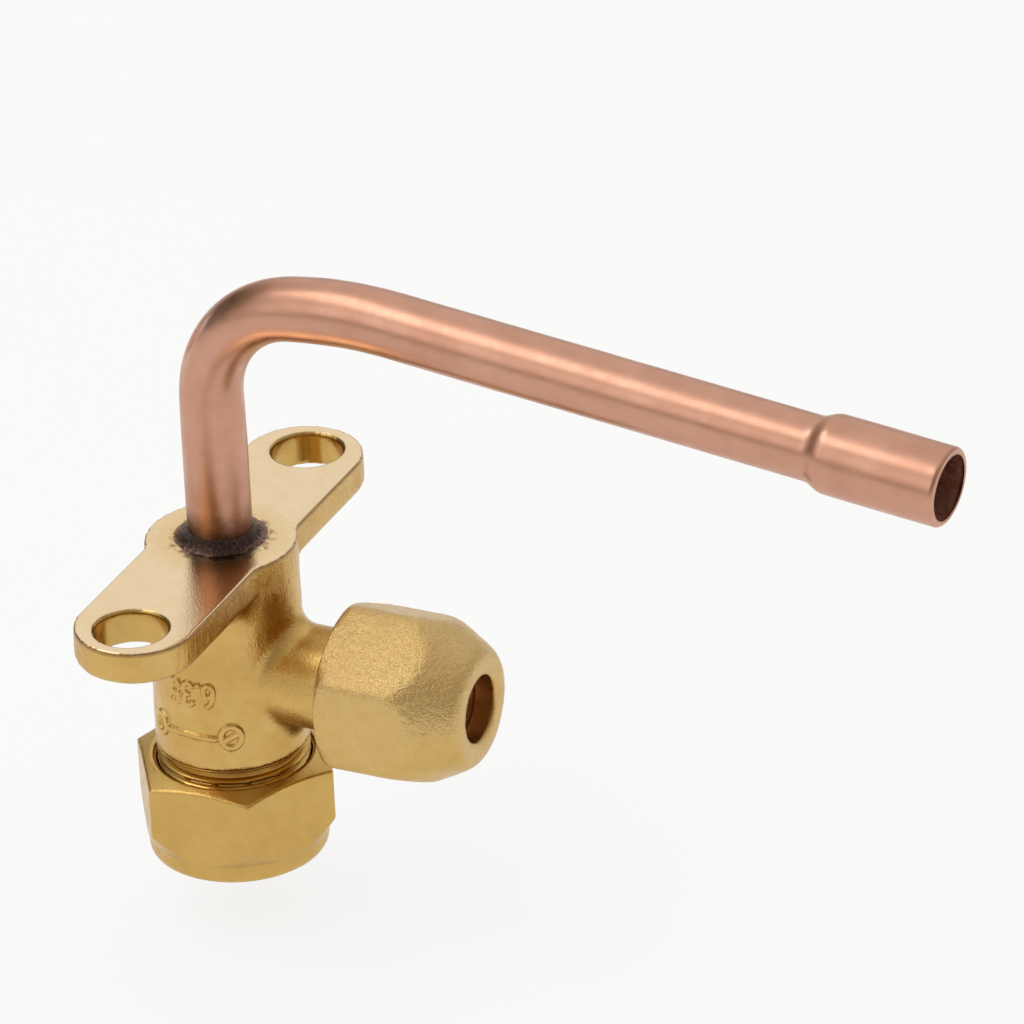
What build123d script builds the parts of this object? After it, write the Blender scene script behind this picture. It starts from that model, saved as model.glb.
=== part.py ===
"""Two-way refrigerant service valve for 1/4 inch tube, forged brass, millimetres.

Frame: the origin is the middle of the flange's machined top face, on the axis of the
stem and of the brazed tube.  +Z runs up the tube, +X runs out of the flare port, and
+Y runs along the line of the two flange holes.
"""
from build123d import *
from math import cos, sin, tan, radians, sqrt
import os

# ---- flange and column of the forging ------------------------------------------------
HOLE_PITCH = 38.3          # between the two fixing holes
HOLE_R = 3.55
FLANGE_LENGTH = 48.2
FLANGE_WIDTH = 12.0
FLANGE_T = 3.6
FLANGE_EDGE_R = 0.9        # forged rounding of the flange's lower edge
COLUMN_TOP_R = 7.45        # slight forging draft down the column
COLUMN_R = 7.6
COLUMN_END_Z = -22.3       # where the turned spigot starts
WAIST_FILLET = 1.8

# ---- spigot that carries the stem cap ------------------------------------------------
SPIGOT_MAJOR_R = 7.55
SPIGOT_PITCH = 1.0
SPIGOT_DEPTH = 0.45        # depth of the thread form
SPIGOT_END_Z = -31.2

# ---- flare port ----------------------------------------------------------------------
PORT_Z = -13.7
NECK_R = 5.1
NECK_END_X = 12.5
PORT_MAJOR_R = 5.55        # 7/16 inch, 20 threads to the inch
PORT_PITCH = 1.27
PORT_DEPTH = 0.55
PORT_THREAD_END_X = 21.5
FLARE_NOSE_X = 24.2        # flat tip of the 45 degree nose
FLARE_NOSE_R = 3.0
PORT_BORE_R = 2.4
PORT_FILLET = 2.0

# ---- inside of the body --------------------------------------------------------------
TUBE_SOCKET_R = 3.2
TUBE_SOCKET_Z = -7.0
SEAT_R = 2.3
SEAT_TOP_Z = -9.6
CHAMBER_R = 4.0
GLAND_Z = -23.0            # smooth gland bore below the stem thread
GLAND_R = 4.6
RING_GROOVE_R = 5.15
RING_TOP_Z = -29.8
RING_T = 0.6

# ---- copper tube ---------------------------------------------------------------------
TUBE_R = 3.175
TUBE_BORE_R = 2.45
LEG_TOP_Z = 15.5           # end of the straight leg, start of the bend
BEND_R = 11.5
BEND_TURN = 79.5
SPRING_R = 46.0            # slack arc where the bend runs out into the arm
ARM_DROOP = 4.1            # the arm falls this much below level
ARM_AZIMUTH = -4.2         # swing of the arm off the port's axis
ARM_LENGTH = 43.75         # straight arm from the end of the bend to the swage
SWAGE_SHOULDER = 2.6
SWAGE_LENGTH = 11.5
SWAGE_OUTER_R = 3.85
SWAGE_BORE_R = 3.27

# ---- braze ---------------------------------------------------------------------------
BRAZE_FOOT_R = 4.35
BRAZE_HEIGHT = 1.7

# ---- stem, its O-ring and retaining ring ---------------------------------------------
STEM_THREAD_R = 3.92
STEM_NECK_R = 3.1
STEM_TIP_Z = -8.95
STEM_END_Z = -26.6
STEM_COLLAR_R = 4.53
STEM_HEX_AF = 4.0
STEM_HEX_DEPTH = 4.0
STEM_GROOVE_R = 3.3
O_RING_WIRE_R = 0.62

# ---- stem cap ------------------------------------------------------------------------
CAP_AF = 18.2
CAP_TURN = 3.3             # how far the hexagon is turned off +X
CAP_TOP_Z = -23.6
CAP_BASE_Z = -34.1
CAP_BASE_R = 8.9
CAP_MOUTH_R = 8.1
CAP_BORE_R = 7.65
CAP_FLOOR_Z = -32.25
SEAL_T = 1.0

# ---- flare nut and its bonnet --------------------------------------------------------
NUT_AF = 16.0
NUT_TURN = 3.2
NUT_BACK_X = 13.0
NUT_NOSE_X = 27.4
NUT_CONE_X = 21.0          # where the front cone cuts the hexagon's corners
NUT_CONE_SLOPE = 0.543
NUT_HOLE_R = 3.35
NUT_BORE_R = 5.64
BONNET_T = 0.7


def turned(points, plane=Plane.XZ):
    """Solid of revolution about +Z from (radius, z) points."""
    return revolve(plane * make_face(Polyline(*points, close=True)), Axis.Z)


def along_port(shape):
    """Carry a solid turned about +Z onto the port's axis, its +Z becoming +X."""
    return Pos(0, 0, PORT_Z) * Rot(0, 90, 0) * shape


def thread_profile(major, depth, pitch, start, end):
    """Points down a threaded wall: 60 degree grooves between start and end."""
    step = -1 if end < start else 1
    count = int(abs(end - start) / pitch)
    flat = pitch * 0.14
    points = []
    for turn in range(count):
        z = start + step * turn * pitch
        points += [(major, z), (major, z + step * flat),
                   (major - depth, z + step * (pitch + flat) * 0.5 - step * flat * 0.3),
                   (major - depth, z + step * (pitch + flat) * 0.5 + step * flat * 0.3)]
    points += [(major, start + step * count * pitch), (major, end)]
    return points


# ---- valve body ----------------------------------------------------------------------
def column():
    """Forged column with the turned, threaded spigot below it."""
    groove = COLUMN_END_Z - 0.35
    thread = thread_profile(SPIGOT_MAJOR_R, SPIGOT_DEPTH, SPIGOT_PITCH, groove - 0.35, SPIGOT_END_Z + 0.7)
    points = [(0, 0), (COLUMN_TOP_R, 0), (COLUMN_R, COLUMN_END_Z + 0.25),
              (COLUMN_R - 0.25, COLUMN_END_Z), (SPIGOT_MAJOR_R - 0.5, COLUMN_END_Z - 0.1),
              (SPIGOT_MAJOR_R - 0.5, groove)]
    points += thread
    points += [(SPIGOT_MAJOR_R - 0.7, SPIGOT_END_Z), (0, SPIGOT_END_Z)]
    return turned(points)


def flange():
    """Two-eared flange: a round-ended bar that swells round the column."""
    bar = Rot(0, 0, 90) * SlotOverall(FLANGE_LENGTH, FLANGE_WIDTH)
    plan = bar + Circle(COLUMN_TOP_R)
    waist = [v for v in plan.vertices() if abs(abs(v.X) - FLANGE_WIDTH / 2) < 0.05 and abs(v.Y) < 8]
    plan = fillet(waist, WAIST_FILLET)
    plate = extrude(plan, -FLANGE_T)
    return fillet(plate.faces().sort_by(Axis.Z)[0].outer_wire().edges(), FLANGE_EDGE_R)


def flange_root():
    """Forged fillet under the flange, kept inside the flange's width."""
    r, z = COLUMN_TOP_R, -FLANGE_T
    profile = Polyline((r - 1, z + 0.2), (r + 1.5, z + 0.2), (r + 1.5, z))
    curve = RadiusArc((r + 1.5, z), (r + 0.05, z - 1.5), 1.55)
    close = Polyline((r + 0.05, z - 1.5), (r - 1, z - 1.5), (r - 1, z + 0.2))
    ring = revolve(Plane.XZ * make_face(profile + curve + close), Axis.Z)
    return ring & Pos(0, 0, z) * Box(FLANGE_WIDTH - 1.6, 4 * r, 6)


def port():
    """Round neck, thread and 45 degree nose, built about +Z before it is laid over."""
    thread = thread_profile(PORT_MAJOR_R, PORT_DEPTH, PORT_PITCH, NECK_END_X + 0.9, PORT_THREAD_END_X)
    root = PORT_MAJOR_R - PORT_DEPTH
    nose_back = FLARE_NOSE_X - (root - FLARE_NOSE_R)
    points = [(0, 0), (NECK_R, 0), (NECK_R, NECK_END_X), (root, NECK_END_X + 0.2)]
    points += [(root, NECK_END_X + 0.6)] + thread
    points += [(root, PORT_THREAD_END_X + 0.4), (root, nose_back), (FLARE_NOSE_R, FLARE_NOSE_X),
               (0, FLARE_NOSE_X)]
    return along_port(turned(points))


def waterways():
    """Everything drilled and bored out of the forging."""
    bore = turned([
        (0, 1), (TUBE_SOCKET_R, 1), (TUBE_SOCKET_R, TUBE_SOCKET_Z), (SEAT_R, TUBE_SOCKET_Z),
        (SEAT_R, SEAT_TOP_Z), (CHAMBER_R, SEAT_TOP_Z - (CHAMBER_R - SEAT_R)),
        (CHAMBER_R, GLAND_Z), (GLAND_R, GLAND_Z - 0.6), (GLAND_R, RING_TOP_Z),
        (RING_GROOVE_R, RING_TOP_Z), (RING_GROOVE_R, RING_TOP_Z - RING_T - 0.05),
        (GLAND_R, RING_TOP_Z - RING_T - 0.05), (GLAND_R, SPIGOT_END_Z + 0.3),
        (GLAND_R + 0.4, SPIGOT_END_Z - 0.1), (0, SPIGOT_END_Z - 0.1)])
    side = along_port(Pos(0, 0, 15) * Cylinder(PORT_BORE_R, 24))
    holes = [Pos(0, s * HOLE_PITCH / 2, -FLANGE_T / 2) * Cylinder(HOLE_R, FLANGE_T + 2) for s in (-1, 1)]
    return bore + side + holes


def valve_body():
    forging = column() + port()
    saddle = [e for e in forging.edges() if e.geom_type != GeomType.CIRCLE
              and e.bounding_box().min.X > 3 and e.bounding_box().max.X < COLUMN_R + 0.2
              and e.length > 10]
    forging = fillet(saddle, PORT_FILLET)
    body = forging + flange() + flange_root() - waterways()
    rims = [e for e in body.edges().filter_by(GeomType.CIRCLE)
            if abs(e.radius - HOLE_R) < 0.01 and abs(e.center().Z) < 0.01]
    return chamfer(rims, 0.2)


# ---- copper tube ---------------------------------------------------------------------
def tube_path():
    leg = Line((0, TUBE_SOCKET_Z), (0, LEG_TOP_Z))
    bend = JernArc(leg @ 1, leg % 1, BEND_R, -BEND_TURN)
    slack = JernArc(bend @ 1, bend % 1, SPRING_R, -(90 + ARM_DROOP - BEND_TURN))
    arm = Line(slack @ 1, slack @ 1 + (slack % 1) * ARM_LENGTH)
    return Plane.XZ * Wire([leg.edge(), bend.edge(), slack.edge(), arm.edge()])


def swage(r_neck, r_mouth):
    """Solid of the flared-out end about +Z: an S-shaped shoulder, then a parallel mouth."""
    half = SWAGE_SHOULDER / 2
    mid = (r_neck + r_mouth) / 2
    rise = Spline((r_neck, 0), (mid, half), (r_mouth, SWAGE_SHOULDER), tangents=((0, 1), (0, 1)))
    wall = Polyline((r_mouth, SWAGE_SHOULDER), (r_mouth, SWAGE_SHOULDER + SWAGE_LENGTH),
                    (0, SWAGE_SHOULDER + SWAGE_LENGTH), (0, 0), (r_neck, 0))
    return revolve(Plane.XZ * make_face(rise + wall), Axis.Z)


def copper_tube():
    path = tube_path()
    end = Plane(origin=path @ 1, z_dir=path % 1)
    outer = sweep(Plane(origin=path @ 0, z_dir=path % 0) * Circle(TUBE_R), path=path)
    inner = sweep(Plane(origin=path @ 0, z_dir=path % 0) * Circle(TUBE_BORE_R), path=path)
    outer += end * swage(TUBE_R, SWAGE_OUTER_R)
    inner += end * swage(TUBE_BORE_R, SWAGE_BORE_R)
    tube = outer - inner
    mouth = [e for e in tube.edges().filter_by(GeomType.CIRCLE)
             if abs(e.radius - SWAGE_OUTER_R) < 0.01 and (e.center() - (path @ 1)).length > SWAGE_LENGTH]
    tube = fillet(mouth, 0.25)
    return Rot(0, 0, ARM_AZIMUTH) * tube


def braze_fillet():
    """Ring of braze alloy climbing from the flange face up the tube."""
    r_in, r_out, h = TUBE_R + 0.025, BRAZE_FOOT_R, BRAZE_HEIGHT
    face = make_face(Polyline((r_in, h), (r_in, 0), (r_out, 0), (r_out, 0.18))
                     + RadiusArc((r_out, 0.18), (r_in + 0.12, h), 2.0)
                     + Line((r_in + 0.12, h), (r_in, h)))
    return revolve(Plane.XZ * face, Axis.Z)


# ---- stem group ----------------------------------------------------------------------
def valve_stem():
    """Back-seating stem: cone tip, waisted neck, thread, grooved collar, hex socket."""
    cone = SEAT_R - 0.08 + SEAT_TOP_Z          # radius plus z is constant on the cone
    groove_top = GLAND_Z - 1.5
    groove_end = groove_top - 2 * O_RING_WIRE_R - 0.2
    stem = turned([
        (0, STEM_TIP_Z), (cone - STEM_TIP_Z, STEM_TIP_Z), (STEM_NECK_R + 0.15, cone - STEM_NECK_R - 0.15),
        (STEM_NECK_R, cone - STEM_NECK_R - 0.6), (STEM_NECK_R, PORT_Z - PORT_BORE_R + 0.1),
        (STEM_THREAD_R, PORT_Z - PORT_BORE_R - 0.7), (STEM_THREAD_R, GLAND_Z - 0.1),
        (STEM_THREAD_R, GLAND_Z - 0.7), (STEM_COLLAR_R, GLAND_Z - 0.9), (STEM_COLLAR_R, groove_top),
        (STEM_GROOVE_R, groove_top), (STEM_GROOVE_R, groove_end), (STEM_COLLAR_R, groove_end),
        (STEM_COLLAR_R, STEM_END_Z + 0.3), (STEM_COLLAR_R - 0.3, STEM_END_Z), (0, STEM_END_Z)])
    socket = extrude(Pos(0, 0, STEM_END_Z) * RegularPolygon(STEM_HEX_AF / 2, 6, major_radius=False),
                     STEM_HEX_DEPTH)
    drill = Pos(0, 0, STEM_END_Z + STEM_HEX_DEPTH) * Cone(STEM_HEX_AF / 2 - 0.02, 0.1, 1.1,
                                                        align=(Align.CENTER, Align.CENTER, Align.MIN))
    lead = Pos(0, 0, STEM_END_Z) * Cone(STEM_HEX_AF / 2 + 0.5, STEM_HEX_AF / 2, 0.5,
                                        align=(Align.CENTER, Align.CENTER, Align.MIN))
    return stem - socket - drill - lead


def stem_o_ring():
    z = GLAND_Z - 1.5 - O_RING_WIRE_R - 0.1
    return Pos(0, 0, z) * Torus(STEM_GROOVE_R + O_RING_WIRE_R + 0.01, O_RING_WIRE_R)


def retaining_ring():
    """Flat spring ring with its gap, snapped into the gland's groove."""
    ring = Circle(RING_GROOVE_R - 0.03) - Circle(RING_GROOVE_R - 1.15)
    ring -= Pos(0, -RING_GROOVE_R) * Rectangle(2.2, 3.4)
    return Pos(0, 0, RING_TOP_Z - 0.025) * extrude(ring, -RING_T)


# ---- stem cap ------------------------------------------------------------------------
def stem_cap():
    """Hexagon cap: shallow cone at the mouth, steep chamfer above a round base."""
    corner = CAP_AF / sqrt(3)
    skin = turned([
        (0, CAP_TOP_Z), (CAP_MOUTH_R, CAP_TOP_Z), (corner + 0.1, CAP_TOP_Z - 0.36 * (corner + 0.1 - CAP_MOUTH_R)),
        (corner + 0.1, CAP_BASE_Z + 4.5), (CAP_BASE_R, CAP_BASE_Z + 1.9), (CAP_BASE_R, CAP_BASE_Z + 0.6),
        (CAP_BASE_R - 0.2, CAP_BASE_Z + 0.2), (CAP_BASE_R - 0.65, CAP_BASE_Z), (0, CAP_BASE_Z)])
    hexagon = extrude(Pos(0, 0, CAP_BASE_Z - 1) * Rot(0, 0, CAP_TURN)
                      * RegularPolygon(CAP_AF / 2, 6, major_radius=False), 14)
    thread_end = SPIGOT_END_Z + 1.2
    inside = turned([(0, CAP_TOP_Z + 1), (CAP_MOUTH_R, CAP_TOP_Z + 1), (CAP_MOUTH_R, CAP_TOP_Z),
                     (CAP_BORE_R, CAP_TOP_Z - 0.45), (CAP_BORE_R, thread_end),
                     (CAP_BORE_R + 0.3, thread_end - 0.3), (CAP_BORE_R + 0.3, CAP_FLOOR_Z),
                     (0, CAP_FLOOR_Z)])
    return (hexagon & skin) - inside


def cap_seal():
    seal = Circle(CAP_BORE_R + 0.2) - Circle(GLAND_R + 0.5)
    return Pos(0, 0, CAP_FLOOR_Z) * extrude(seal, SEAL_T)


# ---- flare nut -----------------------------------------------------------------------
def flare_nut():
    """Forged hexagon nut with a long conical nose, about +Z and then laid over."""
    corner = NUT_AF / sqrt(3)
    face_r = corner - NUT_CONE_SLOPE * (NUT_NOSE_X - NUT_CONE_X)
    nose = Polyline((corner + 0.1, NUT_CONE_X - 0.1 / NUT_CONE_SLOPE), (face_r, NUT_NOSE_X), (0, NUT_NOSE_X))
    nose = fillet(nose.vertices().filter_by(lambda v: abs(v.X - face_r) < 0.01), 1.3)
    back = Polyline((0, NUT_NOSE_X), (0, NUT_BACK_X), (NUT_AF / 2, NUT_BACK_X),
                    (corner + 0.1, NUT_BACK_X + 0.6 * (corner + 0.1 - NUT_AF / 2)),
                    (corner + 0.1, NUT_CONE_X - 0.1 / NUT_CONE_SLOPE))
    skin = revolve(Plane.XZ * make_face(nose + back), Axis.Z)
    hexagon = Pos(0, 0, NUT_BACK_X - 1) * extrude(
        RegularPolygon(NUT_AF / 2, 6, major_radius=False, rotation=NUT_TURN), 18)
    cone_gap = (FLARE_NOSE_X + FLARE_NOSE_R) + (BONNET_T + 0.05) * sqrt(2)
    inside = turned([(0, NUT_BACK_X - 1), (NUT_BORE_R + 0.6, NUT_BACK_X - 1), (NUT_BORE_R + 0.6, NUT_BACK_X),
                     (NUT_BORE_R, NUT_BACK_X + 0.6), (NUT_BORE_R, cone_gap - NUT_BORE_R),
                     (NUT_HOLE_R, cone_gap - NUT_HOLE_R), (NUT_HOLE_R, NUT_NOSE_X - 0.3),
                     (NUT_HOLE_R + 0.3, NUT_NOSE_X), (NUT_HOLE_R + 0.3, NUT_NOSE_X + 1), (0, NUT_NOSE_X + 1)])
    return along_port((skin & hexagon) - inside)


def flare_bonnet():
    """Thin copper seal cup that the nut presses over the port's 45 degree nose."""
    inner = FLARE_NOSE_X + FLARE_NOSE_R + 0.02 * sqrt(2)
    outer = inner + BONNET_T * sqrt(2)
    skirt_r = 5.0
    cap_x = FLARE_NOSE_X + 0.02
    return along_port(turned([
        (0, cap_x), (inner - cap_x, cap_x), (skirt_r - 0.6, inner - skirt_r + 0.6),
        (skirt_r, outer - skirt_r), (outer - cap_x - BONNET_T, cap_x + BONNET_T),
        (0, cap_x + BONNET_T)]))


NODES = {
    "valve_body": valve_body,
    "copper_tube": copper_tube,
    "braze_fillet": braze_fillet,
    "valve_stem": valve_stem,
    "stem_o_ring": stem_o_ring,
    "retaining_ring": retaining_ring,
    "stem_cap": stem_cap,
    "cap_seal": cap_seal,
    "flare_nut": flare_nut,
    "flare_bonnet": flare_bonnet,
}

os.makedirs("parts", exist_ok=True)
for name, make in NODES.items():
    shape = make()
    export_step(shape, f"parts/{name}.step")
    box = shape.bounding_box()
    print(f"{name:15s} {shape.volume:9.1f} mm3  x {box.min.X:.2f}..{box.max.X:.2f}"
          f"  y {box.min.Y:.2f}..{box.max.Y:.2f}  z {box.min.Z:.2f}..{box.max.Z:.2f}")
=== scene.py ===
"""Looks of the refrigerant service valve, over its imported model. Metres, the model's own frame.

The forging, the cap and the nut are recast from their CAD nodes as fine skins and given real
forging grain; the tube, the braze and the threads are built here. Everything else keeps its
CAD node and gets a better material. Shapes are worked out in millimetres.
"""
from math import cos, pi, radians, sin, tau

import bmesh
import bpy
import numpy as np
from mathutils import Matrix, Vector


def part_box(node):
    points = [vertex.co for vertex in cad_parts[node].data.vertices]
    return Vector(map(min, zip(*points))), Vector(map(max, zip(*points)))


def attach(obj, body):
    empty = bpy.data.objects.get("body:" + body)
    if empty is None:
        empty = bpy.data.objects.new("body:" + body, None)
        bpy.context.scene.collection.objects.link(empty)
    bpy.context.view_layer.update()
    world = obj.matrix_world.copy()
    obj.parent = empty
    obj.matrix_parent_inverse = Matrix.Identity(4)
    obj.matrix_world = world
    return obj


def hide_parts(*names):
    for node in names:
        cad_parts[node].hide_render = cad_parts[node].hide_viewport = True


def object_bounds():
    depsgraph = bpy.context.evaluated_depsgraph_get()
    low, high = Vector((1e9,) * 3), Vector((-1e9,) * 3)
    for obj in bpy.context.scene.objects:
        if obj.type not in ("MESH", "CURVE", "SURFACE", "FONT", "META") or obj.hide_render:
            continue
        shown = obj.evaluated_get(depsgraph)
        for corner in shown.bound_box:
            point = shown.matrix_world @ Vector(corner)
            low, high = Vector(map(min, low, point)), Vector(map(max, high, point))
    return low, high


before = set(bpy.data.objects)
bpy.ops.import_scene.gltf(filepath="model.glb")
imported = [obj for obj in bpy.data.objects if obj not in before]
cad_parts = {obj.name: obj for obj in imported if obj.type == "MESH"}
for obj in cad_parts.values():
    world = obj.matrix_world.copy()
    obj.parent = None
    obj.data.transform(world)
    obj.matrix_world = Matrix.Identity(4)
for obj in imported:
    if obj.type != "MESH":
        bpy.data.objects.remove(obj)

MM = 0.001
cad_box = [list(corner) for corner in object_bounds()]
scene = bpy.context.scene

# The part's own sizes in millimetres, as the CAD has them.
COLUMN_R = 7.55             # forged column under the flange
FLANGE_Z = -3.6             # underside of the flange, whose face is at 0
HOLE_Y, HOLE_R = 19.15, 3.55
PORT_Z = -13.7              # height of the side port's axis
SKIN_END_Z = -21.95         # below this the column is turned, not forged
SKIN_END_X = 12.4           # beyond this the port is turned
TUBE_R, TUBE_BORE_R = 3.175, 2.45
SOCKET_Z, LEG_TOP_Z = -7.0, 15.5
BEND_R, BEND_TURN = 11.5, radians(79.5)
SLACK_R, ARM_DROOP = 46.0, radians(4.1)
ARM_LENGTH, ARM_AZIMUTH = 43.75, radians(-4.2)
SHOULDER, SWAGE_LENGTH = 2.6, 11.5
SWAGE_R, SWAGE_BORE_R = 3.85, 3.27
CAP_TRAVEL = 6.5            # how far the cap comes down its thread


# ---- noise in numpy, the same every run ----------------------------------------------
PLACE_PRIMES = (73856093, 19349663, 83492791)
MIXING_ROUNDS = ((13, 1274126177), (16, 2246822519))
LOW_32_BITS = 0xFFFFFFFF
LATTICE_START = 311.7       # keeps every point on the lattice's positive side


def lattice(ix, iy, iz, seed):
    """A repeatable value from -1 to 1 for each whole-number place."""
    n = np.int64(seed * 7919)
    for i, prime in zip((ix, iy, iz), PLACE_PRIMES):
        n = n ^ (i.astype(np.int64) * prime)
    n = n & LOW_32_BITS
    for shift, factor in MIXING_ROUNDS:
        n = ((n ^ (n >> shift)) * factor) & LOW_32_BITS
    return (n & 0xFFFF) / 32767.5 - 1.0


def noise(p, size, seed):
    """Smooth value noise from -1 to 1 at points p, with lumps about `size` across."""
    q = p / size + LATTICE_START
    i = np.floor(q)
    f = q - i
    f = f * f * (3 - 2 * f)
    total = 0
    for dx in (0, 1):
        wx = f[:, 0] if dx else 1 - f[:, 0]
        for dy in (0, 1):
            wy = f[:, 1] if dy else 1 - f[:, 1]
            for dz in (0, 1):
                wz = f[:, 2] if dz else 1 - f[:, 2]
                value = lattice(i[:, 0] + dx, i[:, 1] + dy, i[:, 2] + dz, seed)
                total = total + wx * wy * wz * value
    return total


def ease(low, high, x):
    """0 at low and 1 at high, with a soft start and end; low may be the larger number."""
    t = np.clip((x - low) / (high - low), 0, 1)
    return t * t * (3 - 2 * t)


# ---- mesh helpers --------------------------------------------------------------------
def add_object(name, mesh):
    obj = bpy.data.objects.new(name, mesh)
    scene.collection.objects.link(obj)
    return obj


def get_points(mesh):
    """A mesh's points in millimetres."""
    co = np.empty(len(mesh.vertices) * 3, np.float32)
    mesh.vertices.foreach_get("co", co)
    return co.reshape(-1, 3).astype(float) / MM


def set_points(mesh, points):
    mesh.vertices.foreach_set("co", (points * MM).astype(np.float32).ravel())
    mesh.update()


def normals(mesh):
    n = np.empty(len(mesh.vertices) * 3, np.float32)
    mesh.vertex_normals.foreach_get("vector", n)
    return n.reshape(-1, 3).astype(float)


def edges_of(mesh):
    e = np.empty(len(mesh.edges) * 2, np.int32)
    mesh.edges.foreach_get("vertices", e)
    return e.reshape(-1, 2)


def centres(mesh):
    """The middles of a mesh's faces in millimetres."""
    c = np.empty(len(mesh.polygons) * 3, np.float32)
    mesh.polygons.foreach_get("center", c)
    return c.reshape(-1, 3).astype(float) / MM


def relax(points, edges, rounds, weight=1.0):
    """Laplacian smoothing; a point of weight 0 stays where it is."""
    count = np.bincount(edges.ravel(), minlength=len(points))[:, None]
    pull = 0.6 * np.reshape(weight, (-1, 1))
    for _ in range(rounds):
        total = np.zeros_like(points)
        for k in range(3):
            total[:, k] = (np.bincount(edges[:, 0], points[edges[:, 1], k], len(points))
                           + np.bincount(edges[:, 1], points[edges[:, 0], k], len(points)))
        points = points + pull * (total / np.maximum(count, 1) - points)
    return points


def keep_inside(points, node):
    """Points held within the box of a CAD node."""
    low, high = (np.array(corner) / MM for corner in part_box(node))
    return np.clip(points, low, high)


def ring_mesh(name, rings):
    """Closed skin over equal rings of points in millimetres, the last joined to the first."""
    rings = np.asarray(rings)
    n_rings, n_cols = rings.shape[:2]
    faces = []
    for i in range(n_rings):
        a, b = i * n_cols, (i + 1) % n_rings * n_cols
        for j in range(n_cols):
            k = (j + 1) % n_cols
            faces.append((a + j, a + k, b + k, b + j))
    mesh = bpy.data.meshes.new(name)
    mesh.from_pydata((rings.reshape(-1, 3) * MM).tolist(), [], faces)
    mesh.validate()
    mesh.shade_smooth()
    mesh.update()
    bm = bmesh.new()
    bm.from_mesh(mesh)
    bmesh.ops.recalc_face_normals(bm, faces=bm.faces)
    bm.to_mesh(mesh)
    bm.free()
    return mesh


def recast(node, name, voxel, cuts=()):
    """A CAD node's shape as one even skin of small quads.

    Each cut is a point and an outward direction: what lies beyond that plane is taken off and
    the opening is closed flat.
    """
    bm = bmesh.new()
    bm.from_mesh(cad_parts[node].data)
    bmesh.ops.remove_doubles(bm, verts=bm.verts, dist=1e-6)
    for point, out in cuts:
        everything = bm.verts[:] + bm.edges[:] + bm.faces[:]
        bmesh.ops.bisect_plane(bm, geom=everything, plane_co=Vector(point) * MM, plane_no=out,
                               clear_outer=True)
        rim = [e for e in bm.edges if e.is_boundary]
        bmesh.ops.triangle_fill(bm, edges=rim, use_beauty=True, use_dissolve=False)
    rough = bpy.data.meshes.new(name + "_rough")
    bm.to_mesh(rough)
    bm.free()
    obj = add_object(name, rough)
    mod = obj.modifiers.new("skin", "REMESH")
    mod.mode = "VOXEL"
    mod.voxel_size = voxel * MM
    bpy.context.view_layer.update()
    skin = bpy.data.meshes.new_from_object(obj.evaluated_get(bpy.context.evaluated_depsgraph_get()))
    obj.modifiers.clear()
    obj.data = skin
    bpy.data.meshes.remove(rough)
    skin.shade_smooth()
    return obj


def refine(mesh, chosen, cuts):
    """A finer skin where points are chosen: each edge between two of them is cut up."""
    bm = bmesh.new()
    bm.from_mesh(mesh)
    near = [e for e in bm.edges if all(chosen[v.index] for v in e.verts)]
    bmesh.ops.subdivide_edges(bm, edges=near, cuts=cuts, use_grid_fill=True)
    bm.to_mesh(mesh)
    bm.free()
    mesh.shade_smooth()


def paint(obj, materials, index=None):
    """Give an object its materials, with a number per face where it has several."""
    obj.data.materials.clear()
    for material in materials:
        obj.data.materials.append(material)
    if index is not None:
        obj.data.polygons.foreach_set("material_index", index.astype(np.int32))
        obj.data.update()


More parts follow.
